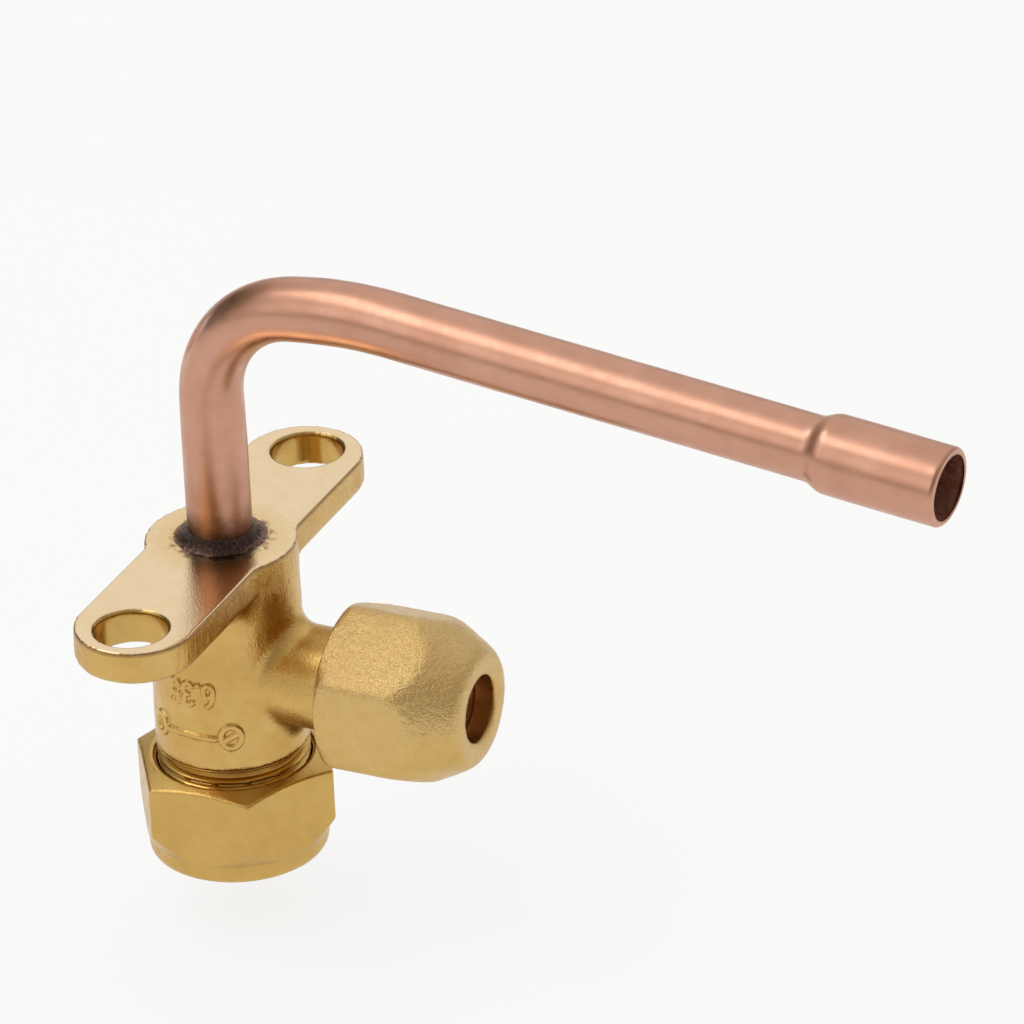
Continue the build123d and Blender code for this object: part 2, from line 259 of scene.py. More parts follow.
# ---- materials -----------------------------------------------------------------------
class Shader:
    """A Principled material with short ways to wire noise, ramps and bumps."""

    def __init__(self, name, metallic=1.0):
        self.mat = bpy.data.materials.new(name)
        self.mat.use_nodes = True
        self.tree = self.mat.node_tree
        self.tree.nodes.clear()
        self.out = self.node("OutputMaterial")
        self.bsdf = self.node("BsdfPrincipled")
        self.join(self.bsdf.outputs[0], self.out.inputs["Surface"])
        self.bsdf.inputs["Metallic"].default_value = metallic
        self.coord = self.node("TexCoord").outputs["Object"]

    def node(self, kind):
        return self.tree.nodes.new("ShaderNode" + kind)

    def join(self, a, b):
        self.tree.links.new(a, b)

    def feed(self, socket, value):
        """Link another node's socket, or set a plain value or an RGB colour."""
        if isinstance(value, bpy.types.NodeSocket):
            self.join(value, socket)
        elif isinstance(value, tuple):
            socket.default_value = (*value, 1)
        else:
            socket.default_value = value

    def stretch(self, x, y, z, source=None):
        n = self.node("Mapping")
        self.join(source or self.coord, n.inputs["Vector"])
        n.inputs["Scale"].default_value = (x, y, z)
        return n.outputs[0]

    def noise(self, size_mm, detail, rough=0.55, source=None):
        n = self.node("TexNoise")
        self.join(source or self.coord, n.inputs["Vector"])
        n.inputs["Scale"].default_value = 1 / (size_mm * MM)
        n.inputs["Detail"].default_value = detail
        n.inputs["Roughness"].default_value = rough
        return n.outputs["Fac"]

    def spread(self, fac, low, high, to_low, to_high):
        """Map the values from low to high onto those from to_low to to_high."""
        n = self.node("MapRange")
        self.join(fac, n.inputs["Value"])
        n.inputs["From Min"].default_value = low
        n.inputs["From Max"].default_value = high
        n.inputs["To Min"].default_value = to_low
        n.inputs["To Max"].default_value = to_high
        return n.outputs[0]

    def patches(self, size_mm, detail, low, high, to_low=0, to_high=1, rough=0.55):
        """Noise whose values from low to high are spread over another range."""
        return self.spread(self.noise(size_mm, detail, rough), low, high, to_low, to_high)

    def mix(self, fac, a, b):
        n = self.node("Mix")
        n.data_type = "RGBA"
        self.feed(n.inputs[0], fac)
        self.feed(n.inputs[6], a)
        self.feed(n.inputs[7], b)
        return n.outputs[2]

    def maths(self, operation, a, b=0.0):
        n = self.node("Math")
        n.operation = operation
        self.feed(n.inputs[0], a)
        self.feed(n.inputs[1], b)
        return n.outputs[0]

    def centred(self, size_mm, detail, rough, source=None):
        """Noise about zero, so that its depth can be faded without moving the surface."""
        return self.maths("SUBTRACT", self.noise(size_mm, detail, rough, source), 0.5)

    def axes(self, source=None):
        n = self.node("SeparateXYZ")
        self.join(source or self.coord, n.inputs[0])
        return n.outputs

    def bump(self, height, depth_mm, under=None):
        n = self.node("Bump")
        n.inputs["Strength"].default_value = 1.0
        n.inputs["Distance"].default_value = depth_mm * MM
        self.join(height, n.inputs["Height"])
        if under is not None:
            self.join(under, n.inputs["Normal"])
        return n.outputs[0]

    def done(self, colour, roughness, normal):
        self.feed(self.bsdf.inputs["Base Color"], colour)
        self.feed(self.bsdf.inputs["Roughness"], roughness)
        self.join(normal, self.bsdf.inputs["Normal"])
        return self.mat


def shade(colour, by):
    return tuple(c * by for c in colour)


def rim_painted_shade(s, colour):
    """Dark line painted round the flange's upper edge, just under the machined face: painted shade
    that dulls the highlight on the rounded edge.
    """
    _, _, z = s.axes()
    below = s.spread(z, -0.55 * MM, -0.30 * MM, 0, 1)
    above = s.spread(z, -0.08 * MM, -0.02 * MM, 0.8, 0)
    # painted shade: a thin band just under the edge is turned dark brown where the rounded edge would
    # catch a highlight
    return s.mix(s.maths("MULTIPLY", below, above), colour, (0.36, 0.20, 0.08))


def forged_brass(name, light, dark, grain_mm, depth_mm, rough, trimmed_mm=0.0):
    """Forging skin: cloudy tone, dark specks, and a grain that catches the light.

    Where trimmed_mm is given, the flange's edge also has upright trimming streaks, and a dark line of
    painted shade along its upper edge.
    """
    s = Shader(name)
    colour = s.mix(s.patches(5.0, 3, 0.35, 0.65), dark, light)
    specks = s.patches(0.16, 2, 0.62, 0.78, 0, 0.35, rough=0.6)
    colour = s.mix(specks, colour, shade(dark, 0.55))
    normal = s.bump(s.noise(grain_mm, 3, 0.6), depth_mm)
    normal = s.bump(s.noise(grain_mm * 0.45, 2, 0.6), depth_mm * 0.35, normal)
    if trimmed_mm:
        _, _, z = s.axes()
        streaks = s.centred(0.26, 3, 0.6, s.stretch(1, 1, 0.16))
        edge = s.spread(z, (FLANGE_Z - 0.6) * MM, (FLANGE_Z + 0.2) * MM, 0, 1)
        normal = s.bump(s.maths("MULTIPLY", streaks, edge), trimmed_mm, normal)
        # painted shade: dark line along the flange's upper edge, in place of its highlight
        colour = rim_painted_shade(s, colour)
    return s.done(colour, s.patches(1.4, 4, 0.3, 0.7, rough - 0.06, rough + 0.08), normal)


def grained_brass_with_sheen():
    """The nut: coarse grain on its upper side, smooth below; upward faces are painted paler as a
    painted highlight, downward ones darker and warmer as painted shade.
    """
    s = Shader("nut_brass")
    up = s.axes(s.node("TexCoord").outputs["Normal"])[2]
    ragged = s.maths("ADD", up, s.patches(1.5, 3, 0.3, 0.7, -0.12, 0.12))
    upper_grain_and_sheen = s.spread(ragged, -0.30, 0.20, 0.16, 1.0)
    # painted highlight and shade: colour follows which way a face turns, pale upwards and darker,
    # warmer downwards
    low = s.mix(s.patches(4.0, 3, 0.35, 0.65), (0.585, 0.37, 0.105), (0.635, 0.42, 0.135))
    colour = s.mix(upper_grain_and_sheen, low, (0.69, 0.478, 0.195))
    specks = s.patches(0.16, 2, 0.58, 0.74, 0, 0.45, rough=0.6)
    colour = s.mix(specks, colour, (0.34, 0.20, 0.065))
    grain = s.maths("MULTIPLY", s.centred(0.20, 2, 0.5), upper_grain_and_sheen)
    fine = s.maths("MULTIPLY", s.centred(0.085, 2, 0.6), upper_grain_and_sheen)
    normal = s.bump(fine, 0.024, s.bump(grain, 0.100))
    return s.done(colour, s.patches(1.4, 4, 0.3, 0.7, 0.26, 0.38), normal)


def turned_brass(name, colour, rough, ring_mm=0.12, depth_mm=0.004, axis="z"):
    """Brass off the lathe, with tool rings round an axis."""
    s = Shader(name)
    along = s.stretch(0.02, 0.02, 1) if axis == "z" else s.stretch(1, 0.02, 0.02)
    rings = s.noise(ring_mm, 3, 0.6, along)
    tone = s.mix(s.patches(3.0, 3, 0.3, 0.7), shade(colour, 0.86), colour)
    tone = s.mix(s.patches(0.3, 3, 0.6, 0.8, 0, 0.3, rough=0.6), tone, shade(colour, 0.5))
    roughness = s.patches(0.9, 3, 0.3, 0.7, rough - 0.04, rough + 0.06)
    return s.done(tone, roughness, s.bump(rings, depth_mm))


def radius_from_axis(s):
    """Distance from the column's axis, in metres."""
    x, y, _ = s.axes()
    return s.maths("SQRT", s.maths("ADD", s.maths("MULTIPLY", x, x), s.maths("MULTIPLY", y, y)))


def faced_brass():
    """The flange's machined face: bright, speckled, heat-tinted round the braze."""
    s = Shader("faced_brass")
    wander = s.patches(1.1, 4, 0.2, 0.8, -1.2 * MM, 1.2 * MM, rough=0.6)
    ragged = s.maths("ADD", radius_from_axis(s), wander)
    base = s.mix(s.patches(2.6, 4, 0.35, 0.65), (0.84, 0.64, 0.385), (0.87, 0.675, 0.425))
    warm = s.mix(s.spread(ragged, 4.6 * MM, 7.8 * MM, 0.6, 0), base, (0.72, 0.48, 0.17))
    soot = s.mix(s.spread(ragged, 4.3 * MM, 5.1 * MM, 0.9, 0), warm, (0.16, 0.09, 0.06))
    pits = s.mix(s.patches(0.22, 3, 0.57, 0.70, 0, 0.42, rough=0.6), soot, (0.52, 0.33, 0.15))
    normal = s.bump(s.noise(0.24, 3, 0.65), 0.026)
    normal = s.bump(s.noise(0.10, 2, 0.5, s.stretch(1, 0.15, 1)), 0.0015, normal)
    normal = s.bump(s.noise(1.6, 2), 0.009, normal)
    # painted shade: the rim function darkens the face's outer edge in place of its highlight
    return s.done(rim_painted_shade(s, pits), s.patches(0.7, 4, 0.3, 0.7, 0.05, 0.14), normal)


def copper_skin():
    """Drawn copper: pink satin, faint lines along the tube, heat tint at the foot."""
    s = Shader("drawn_copper")
    uv = s.node("TexCoord").outputs["UV"]
    lines = s.noise(1.0, 3, 0.6, s.stretch(0.012, 0.00015, 1, uv))
    colour = s.mix(s.patches(4.0, 4, 0.3, 0.7), (0.565, 0.291, 0.195), (0.635, 0.347, 0.243))
    colour = s.mix(s.spread(lines, 0.45, 0.75, 0, 0.35), colour, (0.54, 0.27, 0.18))
    _, _, z = s.axes()
    smoke = s.maths("ADD", z, s.patches(2.2, 3, 0.3, 0.7, -1.5 * MM, 1.5 * MM))
    colour = s.mix(s.spread(smoke, 1.0 * MM, 9.5 * MM, 0.70, 0), colour, (0.36, 0.17, 0.09))
    soot = s.maths("ADD", z, s.patches(0.9, 4, 0.2, 0.8, -0.6 * MM, 0.6 * MM, rough=0.6))
    colour = s.mix(s.spread(soot, 1.4 * MM, 4.2 * MM, 0.95, 0), colour, (0.10, 0.050, 0.035))
    normal = s.bump(s.noise(0.2, 3, 0.6), 0.002, s.bump(lines, 0.0022))
    return s.done(colour, s.patches(1.6, 4, 0.3, 0.7, 0.27, 0.37), normal)


def braze_alloy():
    """Braze and burnt flux: near-black crust with a ragged copper-brown rim."""
    s = Shader("braze_alloy", metallic=0.6)
    wander = s.patches(0.45, 4, 0.2, 0.8, -0.6 * MM, 0.6 * MM, rough=0.6)
    ragged = s.maths("ADD", radius_from_axis(s), wander)
    lumps = s.patches(0.25, 4, 0.4, 0.65, rough=0.65)
    crust = s.mix(lumps, (0.022, 0.010, 0.007), (0.070, 0.034, 0.024))
    colour = s.mix(s.spread(ragged, 3.8 * MM, 4.6 * MM, 0, 0.85), crust, (0.33, 0.19, 0.12))
    colour = s.mix(s.patches(0.12, 2, 0.64, 0.72, 0, 0.7), colour, (0.62, 0.37, 0.25))
    normal = s.bump(s.noise(0.16, 3, 0.6), 0.03, s.bump(s.noise(0.6, 3), 0.06))
    return s.done(colour, s.patches(0.35, 3, 0.35, 0.65, 0.20, 0.5), normal)


def inside_copper():
    """The tube's bore: duller than its skin."""
    s = Shader("inside_copper")
    colour = s.mix(s.patches(0.8, 4, 0.3, 0.7), (0.60, 0.34, 0.25), (0.76, 0.46, 0.35))
    roughness = s.patches(0.5, 3, 0.3, 0.7, 0.35, 0.55)
    return s.done(colour, roughness, s.bump(s.noise(0.25, 3), 0.006))


def plain(name, a, b, rough, metallic=0.0):
    """A quiet material between two tones, for the pieces inside."""
    s = Shader(name, metallic=metallic)
    size_mm = 0.8
    colour = s.mix(s.patches(size_mm, 4, 0.3, 0.7), a, b)
    roughness = s.patches(size_mm * 0.7, 3, 0.3, 0.7, rough - 0.07, rough + 0.07)
    return s.done(colour, roughness, s.bump(s.noise(size_mm * 0.3, 3), 0.004))


BODY = forged_brass("forged_brass", light=(0.67, 0.44, 0.148), dark=(0.60, 0.375, 0.108),
                    grain_mm=0.25, depth_mm=0.047, rough=0.26, trimmed_mm=0.092)
CAP = forged_brass("cap_brass", light=(0.64, 0.415, 0.130), dark=(0.585, 0.37, 0.103),
                   grain_mm=0.20, depth_mm=0.026, rough=0.29)
NUT = grained_brass_with_sheen()
TOP = faced_brass()
BORED = turned_brass("bored_brass", (0.62, 0.40, 0.12), 0.22, 0.10, 0.003)
THREAD = turned_brass("threaded_brass", (0.60, 0.38, 0.11), 0.20, 0.08, 0.002)
DRILLED = turned_brass("drilled_brass", (0.56, 0.335, 0.11), 0.36, 0.15, 0.003, axis="x")
PORTED = turned_brass("ported_brass", (0.60, 0.38, 0.11), 0.20, 0.08, 0.002, axis="x")
COPPER = copper_skin()
INSIDE = inside_copper()
BRAZE = braze_alloy()

CAD_FINISHES = {
    "valve_stem": turned_brass("stem_brass", (0.62, 0.41, 0.13), 0.22),
    "stem_o_ring": plain("o_ring_rubber", (0.012, 0.012, 0.013), (0.022, 0.022, 0.023), 0.5),
    "retaining_ring": plain("spring_steel", (0.42, 0.42, 0.43), (0.55, 0.55, 0.56), 0.32,
                            metallic=1.0),
    "cap_seal": plain("seal_nylon", (0.70, 0.69, 0.65), (0.80, 0.79, 0.75), 0.45),
    "flare_bonnet": plain("bonnet_copper", (0.42, 0.21, 0.12), (0.52, 0.28, 0.18), 0.36,
                          metallic=1.0),
}
for node, finish in CAD_FINISHES.items():
    paint(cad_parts[node], [finish])


# ---- the forging ---------------------------------------------------------------------
SWITCH_STROKE = (0.60, 0.26)    # width and height of the lower row's raised strokes
SIZE_STROKE = (0.52, 0.25)      # the same of the number above it


def stroke_distance(points, strokes):
    """Distance in millimetres from points of a flat drawing to its nearest stroke."""
    nearest = np.full(len(points), 1e9)
    for stroke in strokes:
        for (ax, ay), (bx, by) in zip(stroke[:-1], stroke[1:]):
            dx, dy = bx - ax, by - ay
            px, py = points[:, 0] - ax, points[:, 1] - ay
            t = np.clip((px * dx + py * dy) / max(dx * dx + dy * dy, 1e-9), 0, 1)
            nearest = np.minimum(nearest, np.hypot(px - t * dx, py - t * dy))
    return nearest


def raised(nearest, width, height):
    """Height of a raised stroke with rounded flanks."""
    return height * (1 - ease(width * 0.28, width * 0.72, nearest))


def arc(cx, cy, rx, ry, start, end, steps):
    """Points of an elliptical arc between two angles in degrees."""
    angles = [radians(start + (end - start) * i / steps) for i in range(steps + 1)]
    return [(cx + rx * cos(a), cy + ry * sin(a)) for a in angles]


def forging_marks():
    """Raised marks on the -Y side: x runs round the column in millimetres from -Y, y is height.

    An open ring, a bar and a crossed ring stand for open and shut, and a plain tube size in
    millimetres is cast upside down above them.
    """
    ring = [arc(-4.6, -18.2, 0.85, 1.05, 0, 360, 24)]
    bar = [[(-3.2, -18.3), (-1.2, -18.15), (1.9, -18.3)]]
    crossed = [arc(3.5, -18.1, 1.0, 1.15, 0, 360, 24), [(2.8, -18.5), (4.2, -17.7)]]
    six = [arc(0.45, 0.50, 0.42, 0.50, 0, 360, 20), arc(0.82, 0.75, 0.79, 1.10, 180, 105, 8)]
    point = [[(0.0, 0.05), (0.02, 0.05)]]
    three = [arc(0.35, 1.38, 0.42, 0.47, 150, -80, 12), arc(0.35, 0.45, 0.46, 0.48, 85, -150, 14)]
    five = [[(0.80, 1.85), (0.15, 1.85), (0.10, 1.05)], arc(0.35, 0.55, 0.46, 0.58, 120, -150, 14)]
    start, top, wider, taller = 2.0, -12.4, 1.12, 1.28
    size = []
    x = 0.0
    for glyph, step in ((six, 1.35), (point, 0.60), (three, 1.32), (five, 1.3)):
        for line in glyph:
            size.append([(start - wider * (x + u), top - taller * v) for u, v in line])
        x += step
    return ring + bar + crossed, size


def unrolled(co):
    """The column's wall laid flat: millimetres round from -Y, and height."""
    x, y, z = co.T
    return np.column_stack([(np.arctan2(y, x) + pi / 2) * COLUMN_R, z])


def marked_side(co):
    """Where the column's outer wall faces -Y."""
    return (np.hypot(co[:, 0], co[:, 1]) > COLUMN_R - 0.35) & (co[:, 1] < -2)


def hole_distance(co):
    """Distance from the axis of the nearer flange hole."""
    x, y, _ = co.T
    return np.minimum(np.hypot(x, y - HOLE_Y), np.hypot(x, y + HOLE_Y))


def forged_share(co):
    """1 on the forged skin and 0 on machined faces and inside the bores."""
    x, y, z = co.T
    in_column = (np.hypot(x, y) < 4.4) & (z < 0.3)
    in_port = (np.hypot(y, z - PORT_Z) < 3.4) & (x > 3)
    inner = in_column | in_port | (hole_distance(co) < HOLE_R + 0.4)
    share = (~inner & (z <= -0.25)).astype(float) * ease(-0.3, -1.0, z)
    return share * ease(SKIN_END_Z, SKIN_END_Z + 0.8, z) * ease(SKIN_END_X, SKIN_END_X - 0.6, x)


def forging_push(co, n):
    """How far each point of the forging moves out: waves, dents, trimming tracks and marks."""
    x, y, z = co.T
    wave = 0.045 * noise(co, 3.4, 3) + 0.022 * noise(co, 1.5, 5) + 0.012 * noise(co, 0.6, 8)
    dents = np.minimum(noise(co, 1.1, 21) + 0.60, 0) * 0.08
    trimmed = (z > FLANGE_Z) & (np.abs(n[:, 2]) < 0.35)
    tracks = 0.045 * noise(np.column_stack([x * 0.4, y, z * 0.12]), 0.45, 11)
    flat = unrolled(co)
    switch, size = forging_marks()
    marks = raised(stroke_distance(flat, switch), *SWITCH_STROKE)
    marks = marks + raised(stroke_distance(flat, size), *SIZE_STROKE)
    return forged_share(co) * (wave + dents + trimmed * tracks + marked_side(co) * marks)


def make_forging():
    under_column = ((0, 0, SKIN_END_Z), (0, 0, -1))
    out_of_port = ((SKIN_END_X, 0, 0), (1, 0, 0))
    obj = recast("valve_body", "forged_body", 0.21, cuts=(under_column, out_of_port))
    mesh = obj.data
    switch, size = forging_marks()
    co = get_points(mesh)
    near_marks = stroke_distance(unrolled(co), switch + size) < 0.57
    refine(mesh, marked_side(co) & near_marks, cuts=3)

    edges = edges_of(mesh)
    co = relax(get_points(mesh), edges, 2)
    # the forged root under the flange runs out softly into the column
    around = np.hypot(co[:, 0], co[:, 1])
    root = ease(FLANGE_Z - 3.0, FLANGE_Z - 2.0, co[:, 2])
    root = root * ease(FLANGE_Z + 0.3, FLANGE_Z - 0.1, co[:, 2])
    root = root * ease(9.6, 9.0, around) * (around > 6.5)
    co = relax(co, edges, 60, root)
    set_points(mesh, co)
    n = normals(mesh)
    co = co + n * forging_push(co, n)[:, None]
    set_points(mesh, keep_inside(co, "valve_body"))

    c = centres(mesh)
    kind = np.zeros(len(c), int)
    in_socket = (np.hypot(c[:, 0], c[:, 1]) < 4.2) & (c[:, 2] < -0.1)
    kind[in_socket | (hole_distance(c) < HOLE_R + 0.2)] = 2
    kind[c[:, 2] > -0.12] = 1
    paint(obj, [BODY, TOP, BORED], kind)
    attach(obj, "valve")
    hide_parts("valve_body")


# ---- turned ends of the body ---------------------------------------------------------
RINGS_PER_PITCH = 14
GROOVE_HALF = 0.36          # half of a groove's width, as a share of the pitch
GROOVE_FLAT = 1.25          # over 1 gives the groove a flat bottom


def helix_rings(start, end, crest, depth, pitch, cols):
    """Rings of (radius, place along the axis) for a helical thread between two places."""
    way = -1 if end < start else 1
    length = abs(end - start)
    turns = int(np.ceil(length / pitch)) + 1
    rings = []
    for k in range(-RINGS_PER_PITCH, turns * RINGS_PER_PITCH + 1):
        ring = []
        for j in range(cols):
            climb = (k / RINGS_PER_PITCH + j / cols) * pitch
            along = min(max(climb, 0.0), length)
            tooth = 1 - min(abs(climb / pitch % 1.0 - 0.5) / GROOVE_HALF, 1.0)
            groove = depth * min(tooth * GROOVE_FLAT, 1.0) if 0 < along < length else 0.0
            ring.append((crest - groove, start + way * along))
        rings.append(ring)
    return rings


def turned_mesh(name, before, after, depth, pitch, cols):
    """A turned profile round Z with a helical thread between its two halves.

    Both halves are lists of (radius, height), and the thread runs from the last point of the
    first to the first point of the second.
    """
    crest, start = before[-1]
    end = after[0][1]
    angle = np.arange(cols) * tau / cols
    verts, faces = [], []

    def add_rings(rings, climb=0):
        """Skin some rings; the seam joins the last column to the first one `climb` rings on."""
        first = len(verts) // cols
        for ring in rings:
            verts.extend((r * cos(a), r * sin(a), z) for (r, z), a in zip(ring, angle))
        last = len(verts) // cols - 1
        for i in range(first, last):
            for j in range(cols - 1):
                here, above = i * cols + j, (i + 1) * cols + j
                faces.append((here, here + 1, above + 1, above))
            if i + 1 + climb <= last:
                seam, seam_above = (i + 1) * cols - 1, (i + 2) * cols - 1
                faces.append((seam, (i + climb) * cols, (i + 1 + climb) * cols, seam_above))

    add_rings([[point] * cols for point in before])
    add_rings(helix_rings(start, end, crest, depth, pitch, cols), RINGS_PER_PITCH)
    add_rings([[point] * cols for point in after])
    mesh = bpy.data.meshes.new(name)
    mesh.from_pydata((np.array(verts) * MM).tolist(), [], faces)
    bm = bmesh.new()
    bm.from_mesh(mesh)
    bmesh.ops.dissolve_degenerate(bm, dist=1e-7, edges=bm.edges)
    bmesh.ops.remove_doubles(bm, verts=bm.verts, dist=2e-6)
    bmesh.ops.recalc_face_normals(bm, faces=bm.faces)
    bm.to_mesh(mesh)
    bm.free()
    mesh.shade_smooth()
    mesh.set_sharp_from_angle(angle=radians(50))
    return mesh


def make_spigot():
    """The column's turned end: collar, relief, cap thread, and the gland with its ring groove."""
    bore, gland, ring_groove = 4.0, 4.6, 5.15
    relief, crest = 7.05, 7.55
    top, end = -21.6, -31.2
    before = [(bore, top), (7.30, top), (7.30, -21.9), (7.56, -21.93), (7.6, -22.02),
              (7.38, -22.27), (7.06, -22.34), (relief, -22.4), (relief, -22.95), (7.2, -23.0),
              (crest, -23.2)]
    after = [(crest, -30.55), (7.5, -30.6), (6.85, -31.18), (6.8, end), (4.93, end),
             (gland, -30.9), (gland, -30.45), (ring_groove, -30.45), (ring_groove, -29.8),
             (gland, -29.8), (gland, -23.6), (bore, -23.0), (bore, top)]
    mesh = turned_mesh("spigot_thread", before, after, depth=0.45, pitch=1.0, cols=220)
    obj = add_object("spigot_thread", mesh)
    paint(obj, [THREAD])
    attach(obj, "valve")


def make_port():
    """The port's turned end: relief, flare thread, and the cone that the tube is flared over."""
    bore, relief, crest = 2.4, 5.0, 5.55
    root, end = 12.0, 24.2
    before = [(bore, root), (4.8, root), (4.9, 12.2), (5.08, 12.35), (5.1, 12.5),
              (relief, 12.7), (relief, 13.1), (5.1, 13.2), (crest, 13.45)]
    after = [(crest, 21.5), (5.5, 21.55), (relief, 21.95), (relief, 22.2), (3.05, 24.15),
             (2.95, end), (2.6, end), (2.42, 24.05), (bore, 23.8), (bore, root)]
    mesh = turned_mesh("port_thread", before, after, depth=0.55, pitch=1.27, cols=180)
    mesh.transform(Matrix.Translation((0, 0, PORT_Z * MM)) @ Matrix.Rotation(pi / 2, 4, "Y"))
    obj = add_object("port_thread", mesh)
    paint(obj, [PORTED])
    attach(obj, "valve")


# ---- cap and nut ---------------------------------------------------------------------
def make_cap():
    wall_r, floor_z = 7.95, -33.0       # between the cap's threaded inside and its outside
    obj = recast("stem_cap", "hexagon_cap", 0.16)
    mesh = obj.data
    co = relax(get_points(mesh), edges_of(mesh), 3)
    set_points(mesh, co)
    outside = (np.hypot(co[:, 0], co[:, 1]) > wall_r) | (co[:, 2] < floor_z - 0.6)
    waves = 0.014 * noise(co, 2.6, 41) + 0.008 * noise(co, 0.9, 43)
    dents = np.minimum(noise(co, 0.8, 47) + 0.78, 0) * 0.05
    push = outside * (waves + dents)
    set_points(mesh, keep_inside(co + normals(mesh) * push[:, None], "stem_cap"))
    c = centres(mesh)
    inside = (np.hypot(c[:, 0], c[:, 1]) < wall_r + 0.05) & (c[:, 2] >= floor_z)
    paint(obj, [CAP, THREAD], inside.astype(int))
    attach(obj, "cap")
    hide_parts("stem_cap")


def make_nut():
    thread_r, nose_r = 5.9, 3.42        # radii just outside its thread and its drilled nose
    seat_x = 24.6                       # between the thread's end and the nose
    obj = recast("flare_nut", "forged_nut", 0.145)
    mesh = obj.data
    co = get_points(mesh)
    edges = edges_of(mesh)
    around = np.hypot(co[:, 1], co[:, 2] - PORT_Z)
    outside = ease(thread_r, thread_r + 0.5, around)
    skin = outside + (1 - outside) * ease(24.5, 25.5, co[:, 0]) * ease(3.3, 3.8, around)
    skin *= ease(13.0, 13.6, co[:, 0])
    co = relax(co, edges, 2)
    co = relax(co, edges, 75, skin)
    set_points(mesh, co)
    n = normals(mesh)
    # coarse grain of the die on the upper faces and the cone, finer below
    upper = ease(-0.75, 0.1, n[:, 2] - 0.25 * n[:, 0])
    grain = 0.026 * noise(co, 0.45, 61) + 0.022 * noise(co, 0.30, 67)
    waves = 0.02 * noise(co, 2.4, 71) + 0.012 * noise(co, 1.1, 73)
    push = skin * (grain * (0.15 + 0.85 * upper) + waves)
    set_points(mesh, keep_inside(co + n * push[:, None], "flare_nut"))
    c = centres(mesh)
    around = np.hypot(c[:, 1], c[:, 2] - PORT_Z)
    kind = np.where((around < thread_r) & (c[:, 0] < seat_x), 1, 0)
    kind[around < nose_r] = 2
    paint(obj, [NUT, PORTED, DRILLED], kind)
    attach(obj, "nut")
    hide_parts("flare_nut")


# ---- tube and braze ------------------------------------------------------------------
LEG = LEG_TOP_Z - SOCKET_Z
BEND = BEND_R * BEND_TURN
SLACK_TURN = pi / 2 + ARM_DROOP - BEND_TURN
SHOULDER_AT = LEG + BEND + SLACK_R * SLACK_TURN + ARM_LENGTH
MOUTH_AT = SHOULDER_AT + SHOULDER + SWAGE_LENGTH
LIP_ROLL = 0.38             # rounding of the tube's cut end
TUBE_COLS = 144


def tube_line(length):
    """Point and heading angle on the tube's axis at a length from its lower end, in its own plane."""
    if length <= LEG:
        return 0.0, SOCKET_Z + length, 0.0
    length -= LEG
    if length <= BEND:
        t = length / BEND_R
        return BEND_R * (1 - cos(t)), LEG_TOP_Z + BEND_R * sin(t), t
    length -= BEND
    x, z = BEND_R * (1 - cos(BEND_TURN)), LEG_TOP_Z + BEND_R * sin(BEND_TURN)
    turned_by = min(length / SLACK_R, SLACK_TURN)
    t = BEND_TURN + turned_by
    x += SLACK_R * (cos(BEND_TURN) - cos(t))
    z += SLACK_R * (sin(t) - sin(BEND_TURN))
    rest = length - turned_by * SLACK_R
    return x + rest * sin(t), z + rest * cos(t), t


def swaged(length, small, large):
    """Radius at a length along the tube, which widens smoothly over the shoulder."""
    t = min(max((length - SHOULDER_AT) / SHOULDER, 0), 1)
    t = t * t * t * (t * (6 * t - 15) + 10)
    return small + (large - small) * t


def flattened(length):
    """How far the tube is squashed: a little, and only round the bend."""
    entering = min(max((length - LEG + 4) / 7, 0), 1)
    leaving = min(max((LEG + BEND + 5 - length) / 8, 0), 1)
    rise = entering * leaving
    return 0.045 * rise * rise * (3 - 2 * rise)


def tube_ring(length, r, squash):
    """Points round the tube's axis at a length along it."""
    x, z, t = tube_line(length)
    a = np.arange(TUBE_COLS) * tau / TUBE_COLS
    across, up = np.sin(a) * r * (1 + squash * 0.3), np.cos(a) * r * (1 - squash)
    return np.column_stack([x - up * cos(t), across, z + up * sin(t)])


def tube_rings():
    """Rings up the outside, round the lip and back down the bore, with each ring's length.

    Also says how many of them lie on the outside.
    """
    lengths, rings = [], []

    def add(length, r, squash=0.0):
        lengths.append(length)
        rings.append(tube_ring(length, r, squash))

    for length in np.linspace(0, MOUTH_AT - LIP_ROLL, 400):
        add(length, swaged(length, TUBE_R, SWAGE_R), flattened(length))
    for k in range(1, 9):
        a = k / 8 * pi / 2
        add(MOUTH_AT - LIP_ROLL + LIP_ROLL * sin(a), SWAGE_R - LIP_ROLL + LIP_ROLL * cos(a))
    outside = len(rings)
    for k in range(4):
        add(MOUTH_AT - 0.06 * k, SWAGE_BORE_R - 0.10 * (1 - k / 3))
    for length in np.linspace(MOUTH_AT - 0.4, 0, 150):
        add(length, swaged(length, TUBE_BORE_R, SWAGE_BORE_R), flattened(length))
    return np.array(rings), np.array(lengths), outside


def tube_uvs(mesh, lengths):
    """UVs: the share of a turn round the tube, and the length along it in millimetres."""
    loops = np.empty(len(mesh.loops), np.int32)
    mesh.loops.foreach_get("vertex_index", loops)
    u = (loops % TUBE_COLS) / TUBE_COLS
    v = lengths[loops // TUBE_COLS]
    corners = u.reshape(-1, 4)
    over_seam = np.repeat(np.ptp(corners, axis=1) > 0.5, 4)
    u = np.where(over_seam & (u < 0.5), u + 1, u)
    layer = mesh.uv_layers.new(name="along")
    layer.data.foreach_set("uv", np.column_stack([u, v]).astype(np.float32).ravel())


